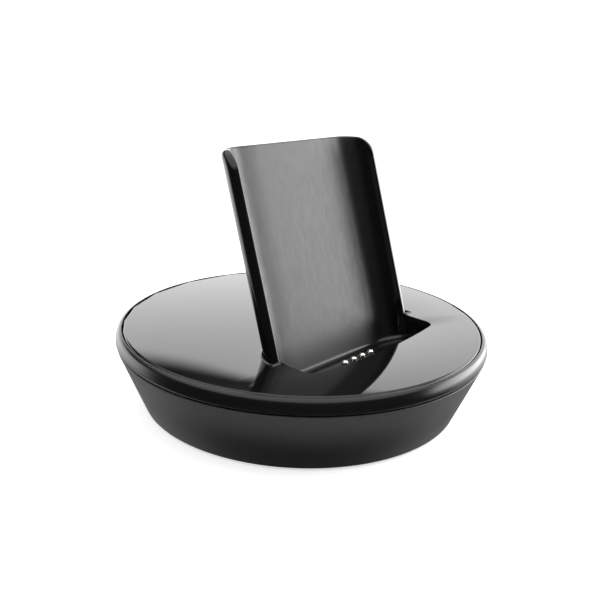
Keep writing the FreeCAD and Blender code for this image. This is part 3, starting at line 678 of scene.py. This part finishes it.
# ------------------------------------------------------------------ cradle
def channel_wall():
    """Leaning channel: one sheet that bends round both sides, with rounded rims and top."""
    half_wall = WALL / 2
    bend = CORNER_RADIUS + half_wall
    first = math.asin(-CORNER_W / bend)
    quarter = bend * (math.pi / 2 - first)
    width = 2 * quarter + 2 * CORNER_X
    bottom = POCKET_FLOOR + POCKET_FILLET
    top_v = (cradle_high.z - PLATE_TOP) / COS

    def place(t, v, h, share):
        """Point on the bent sheet: t along it, v up it, h out from its middle."""
        near = min(t, width - t)
        if near < quarter:
            angle = first + near / bend
            mid_w = CORNER_W + bend * math.sin(angle)
            x = -CORNER_X - (bend + h) * math.cos(angle)
            w = CORNER_W + (bend + h) * math.sin(angle)
            x = x if t < width / 2 else -x
        else:
            mid_w = CORNER_W + bend
            x = -CORNER_X + (t - quarter)
            w = mid_w + h
        return lean(x, w, v + (w - mid_w) * TAN * share)

    def depth(t):
        near = min(max(min(t, width - t), 0.0), quarter)
        return CORNER_W + bend * math.sin(first + near / bend)

    def slope(t):
        return (depth(t + 1e-6) - depth(t - 1e-6)) / 2e-6 * TAN

    # top edge, from the left rim to the right one: (t, v) and the way out from the sheet
    edge = []
    corner_steps = 14
    for i in range(corner_steps + 1):
        angle = math.pi / 2 * i / corner_steps
        t = TOP_CORNER * (1 - math.cos(angle))
        v = top_v - TOP_CORNER * (1 - math.sin(angle)) + depth(t) * TAN
        climb = math.cos(angle) + slope(max(t, 1e-6)) * math.sin(angle)
        edge.append((t, v, Vector((-climb, math.sin(angle))).normalized()))
    edge[0] = (edge[0][0], edge[0][1], Vector((-1, 0)))
    mirror = [(width - t, v, Vector((-out.x, out.y))) for t, v, out in edge[::-1]]
    middle_steps = 60
    for i in range(1, middle_steps):
        t = TOP_CORNER + (width - 2 * TOP_CORNER) * i / middle_steps
        edge.append((t, top_v + depth(t) * TAN, Vector((-slope(t), 1.0)).normalized()))
    edge += mirror

    rows = 44
    inset = [(t - out.x * OUTER_ROUND, v - out.y * OUTER_ROUND, out) for t, v, out in edge]
    bm = bmesh.new()

    def grid(h):
        sheet = []
        for t, v, _ in inset:
            column = []
            for j in range(rows + 1):
                share = j / rows
                column.append(bm.verts.new(place(t, bottom + (v - bottom) * share, h, share)))
            sheet.append(column)
        for a, b in zip(sheet, sheet[1:]):
            for j in range(rows):
                quad = (a[j], b[j], b[j + 1], a[j + 1])
                bm.faces.new(quad if h > 0 else quad[::-1])
        return sheet

    inner, outer = grid(-half_wall), grid(half_wall)

    def around(sheet):
        return [*sheet[0][:-1], *[column[-1] for column in sheet], *sheet[-1][-2::-1]]

    marks = []
    start, end = inset[0], inset[-1]
    for j in range(rows):
        marks.append((start[0], bottom + (start[1] - bottom) * j / rows, Vector((-1, 0)), j / rows))
    for t, v, out in inset:
        marks.append((t, v, out, 1.0))
    for j in range(rows - 1, -1, -1):
        marks.append((end[0], bottom + (end[1] - bottom) * j / rows, Vector((1, 0)), j / rows))
    profile = []
    for k in range(6):
        angle = math.pi / 2 * k / 5
        profile.append((
            OUTER_ROUND - INNER_ROUND * (1 - math.sin(angle)),
            -half_wall + INNER_ROUND * (1 - math.cos(angle)),
        ))
    for k in range(9):
        angle = math.pi / 2 * k / 9
        profile.append((
            OUTER_ROUND * math.cos(angle), half_wall - OUTER_ROUND * (1 - math.sin(angle))
        ))
    strips = [around(inner)]
    for reach, h in profile:
        strips.append([
            bm.verts.new(place(t + out.x * reach, v + out.y * reach, h, share))
            for t, v, out, share in marks
        ])
    strips.append(around(outer))
    for a, b in zip(strips, strips[1:]):
        for i in range(len(a) - 1):
            bm.faces.new((a[i], a[i + 1], b[i + 1], b[i]))
    # underside of the sheet, inside the base
    under = [[column[0] for column in inner], [column[0] for column in outer]]
    ends = [[s[0] for s in strips], [s[-1] for s in strips]]
    for i in range(len(under[0]) - 1):
        bm.faces.new((under[0][i], under[0][i + 1], under[1][i + 1], under[1][i]))
    for rim in ends:
        bm.faces.new(rim)
    bmesh.ops.recalc_face_normals(bm, faces=bm.faces)
    mesh = bpy.data.meshes.new("channel_wall")
    bm.to_mesh(mesh)
    bm.free()
    return mesh


def pocket_tub():
    """Shallow pocket at the channel's foot: bowed front, rounded floor edge, open on top."""
    tuck = 0.03 * MM

    def outline(grow, hidden=0.0):
        front = bowed_front(grow)
        side_low = POCKET_SIDE * 0.55
        left = sides(grow, side_low, 0.0, 5, True)
        right = sides(grow, side_low, 0.0, 5, False)
        back = [Vector((p.x, p.y)) for p in back_arcs(grow + hidden)]
        return front + left + back + right

    def level(points, z):
        return [lean(p.x, p.y, (z - PLATE_TOP + p.y * SIN) / COS) for p in points]

    def flat(points, v):
        return [lean(p.x, p.y, v) for p in points]

    rim_z = PLATE_BOTTOM - 0.05 * MM
    steps = 7
    loops = [flat(outline(-2.4 * MM), POCKET_FLOOR)]
    for k in range(steps + 1):
        angle = math.pi / 2 * k / steps
        grow = -POCKET_FILLET * (1 - math.sin(angle))
        rise = POCKET_FILLET * (1 - math.cos(angle))
        loops.append(flat(outline(grow, tuck * k / steps), POCKET_FLOOR + rise))
    loops.append(level(outline(0, tuck), rim_z))
    loops.append(level(outline(POCKET_WALL), rim_z))
    loops.append(flat(outline(POCKET_WALL), POCKET_FLOOR - POCKET_THICK))
    bm = bmesh.new()
    rows = [[bm.verts.new(p) for p in loop] for loop in loops]
    count = len(rows[0])
    for low, high in zip(rows, rows[1:]):
        for i in range(count):
            j = (i + 1) % count
            bm.faces.new((low[i], low[j], high[j], high[i]))
    bm.faces.new(rows[0])
    bm.faces.new(rows[-1])
    bmesh.ops.recalc_face_normals(bm, faces=bm.faces)
    mesh = bpy.data.meshes.new("pocket_tub")
    bm.to_mesh(mesh)
    bm.free()
    return mesh


def pin_hole(x, radius, low, high, steps=40):
    ring = circle(radius, steps)
    loops = [[lean(x + a, CONTACT_ROW + b, v) for a, b in ring] for v in (low, high)]
    return skin("pin_hole", loops, caps=True)


def contact_xs():
    found = []
    for number in range(1, 5):
        low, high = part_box("contact_pin_%d" % number)
        found.append((low.x + high.x) / 2)
    return found


def cradle():
    low, high = POCKET_FLOOR - 3 * MM, POCKET_FLOOR + 0.6 * MM
    holes = [pin_hole(x, PIN_HOLE_RADIUS, low, high) for x in contact_xs()]
    tub = combined(pocket_tub(), holes, "DIFFERENCE")
    body = combined(tub, [channel_wall()], "UNION")
    return piece("cradle_channel", body, "stand", "cradle_gloss", ["cradle"], 30.0)


def contacts():
    """Domed plungers, each with the collar that keeps it in its barrel."""
    radius, collar = CONTACT_RADIUS, COLLAR_RADIUS
    tip = POCKET_FLOOR + CONTACT_PROUD
    low = POCKET_FLOOR - POCKET_THICK - COLLAR_DROP
    for number, x in enumerate(contact_xs(), 1):
        outline = [(0.0, tip)]
        for k in range(1, 13):
            angle = math.pi / 2 * k / 12
            outline.append((radius * math.sin(angle), tip - radius * (1 - math.cos(angle))))
        outline += [
            (radius, low + COLLAR_HEIGHT), (collar - COLLAR_BREAK, low + COLLAR_HEIGHT),
            (collar, low + COLLAR_HEIGHT - COLLAR_BREAK), (collar, low + COLLAR_BREAK),
            (collar - COLLAR_BREAK, low), (0.0, low),
        ]
        mesh = turned_mesh(
            "contact_%d_plunger" % number, [Vector(p) for p in outline],
            lambda a, b, v: lean(x + a, CONTACT_ROW + b, v), 48,
        )
        piece(
            "contact_%d_plunger" % number, mesh, "contact_%d" % number, "contact_metal",
            ["contact_pin_%d" % number], 40.0,
        )


def springs():
    """Contact springs: each CAD coil copied as it is, finished in spring steel and riding on the stand."""
    axis = lean(0, 0, 1) - lean(0, 0, 0)
    for number in range(1, 5):
        coil = "pin_spring_%d" % number
        wire = frame["nodes"][coil].data.copy()
        made = piece("contact_%d_spring" % number, wire, "stand", "spring_steel", [coil], 40.0)
        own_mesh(made)


def feet():
    """Round rubber feet with a soft lower edge and a shallow dished face."""
    for number in range(1, 5):
        low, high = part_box("rubber_foot_%d" % number)
        centre = (low + high) / 2
        radius = (high.x - low.x) / 2
        outline = rounded([
            (0.0, low.z + 0.12 * MM, 0), (radius - 1.7 * MM, low.z + 0.12 * MM, 0.3 * MM),
            (radius - 1.4 * MM, low.z, 0.1 * MM), (radius, low.z, 0.35 * MM),
            (radius, high.z, 0.08 * MM), (0.0, high.z, 0),
        ], 5)
        mesh = turned_mesh(
            "foot_pad_%d" % number, outline,
            lambda a, b, z: Vector((centre.x + a, centre.y + b, z)), 96,
        )
        piece(
            "foot_pad_%d" % number, mesh, "stand", "foot_rubber",
            ["rubber_foot_%d" % number], 40.0,
        )


def carried_over():
    """Every CAD piece that stays gets the finish of its own material slot."""
    for part in record["subparts"]:
        mesh = frame["nodes"][part["node"]].data
        slot = part.get("material_slot") or part.get("slot")
        mesh.materials.clear()
        mesh.materials.append(finishes[slot].material)


housing()
ring()
plate()
cradle()
contacts()
springs()
feet()
carried_over()

# ------------------------------------------------------------------ camera
VIEW_TURN = math.radians(-48.165)
VIEW_RISE = math.radians(18.485)
VIEW_ROLL = math.radians(2.019)
VIEW_DISTANCE = 0.2
aim = Vector((5.67, 6.04, 21.82)) * MM
back = Vector((
    math.sin(VIEW_TURN) * math.cos(VIEW_RISE), -math.cos(VIEW_TURN) * math.cos(VIEW_RISE),
    math.sin(VIEW_RISE),
))
right = Vector((math.cos(VIEW_TURN), math.sin(VIEW_TURN), 0))
up = back.cross(right)
tilted_right = math.cos(VIEW_ROLL) * right + math.sin(VIEW_ROLL) * up
tilted_up = -math.sin(VIEW_ROLL) * right + math.cos(VIEW_ROLL) * up
lens = bpy.data.cameras.new("studio_camera")
lens.sensor_width = 36.0
lens.lens = 46.954
lens.clip_start, lens.clip_end = 0.01, 20.0
camera = bpy.data.objects.new("studio_camera", lens)
bpy.context.scene.collection.objects.link(camera)
camera.matrix_world = Matrix.Translation(aim + back * VIEW_DISTANCE) @ Matrix(
    (tilted_right, tilted_up, back)
).transposed().to_4x4()
bpy.context.scene.camera = camera


# ------------------------------------------------------------------ floor and light
def studio_floor():
    """Plain white paper, kept out of reflections."""
    rings = []
    for radius in (0.0, 0.05, 0.1, 0.2, 0.5, 1.5, 4.0):
        rings.append([Vector((x, y, 0)) for x, y in circle(radius, 64)])
    floor = bpy.data.objects.new("studio_floor", skin("studio_floor", rings))
    bpy.context.scene.collection.objects.link(floor)
    paper = Finish("studio_paper", Roughness=0.9)
    paper.shader.inputs["Specular IOR Level"].default_value = 0.1
    fibre = paper.noise(700, 3)
    paper.wear(
        Base_Color=paper.tint(fibre, grey(0.86), grey(0.90)), Normal=paper.bump(fibre, 0.05, 0.0001)
    )
    paper.shader.inputs["Emission Color"].default_value = (1, 1, 1, 1)
    paper.shader.inputs["Emission Strength"].default_value = 0.62
    floor.data.materials.append(paper.material)
    floor.visible_glossy = False


def studio_light():
    """White surround, brighter behind, a large soft panel to the right, dark at the front."""
    world = bpy.data.worlds.new("studio_light")
    bpy.context.scene.world = world
    world.use_nodes = True
    tree = world.node_tree
    sky = tree.nodes["Background"]
    sky.inputs["Color"].default_value = (1, 1, 1, 1)
    place = node(tree, "ShaderNodeTexCoord")
    parts = node(tree, "ShaderNodeSeparateXYZ", {}, place).socket.node.outputs
    x, y, z = (Flow(tree, parts[i]) for i in range(3))

    def facing(turn):
        """How far a direction faces a compass bearing, from -1 to 1."""
        return x * math.cos(math.radians(turn)) + y * math.sin(math.radians(turn))

    def span(value, low, high, to_low=0.0, to_high=1.0):
        return node(
            tree, "ShaderNodeMapRange", {"interpolation_type": "SMOOTHSTEP"}, value,
            low, high, to_low, to_high,
        )

    low = span(z, -0.48, -0.05, 0.22, 1.0)
    behind = span(facing(42), -0.05, 0.35) * span(z + facing(132) * 0.24, 0.500, 0.450) * low
    panel = span(facing(-28), 0.80, 0.92) * span(z, -0.25, -0.05) * span(z, 0.75, 0.55)
    overhead = span(z, 0.45, 0.8)
    light = 0.05 + behind * 2.5 + panel * 5.2 + overhead * 1.5
    seen = node(tree, "ShaderNodeLightPath")
    shade = seen * 1.05 + (1 - seen) * light
    tree.links.new(shade.socket, sky.inputs["Strength"])


studio_floor()
studio_light()
bpy.context.scene.view_settings.view_transform = "Standard"
bpy.context.scene.view_settings.look = "None"
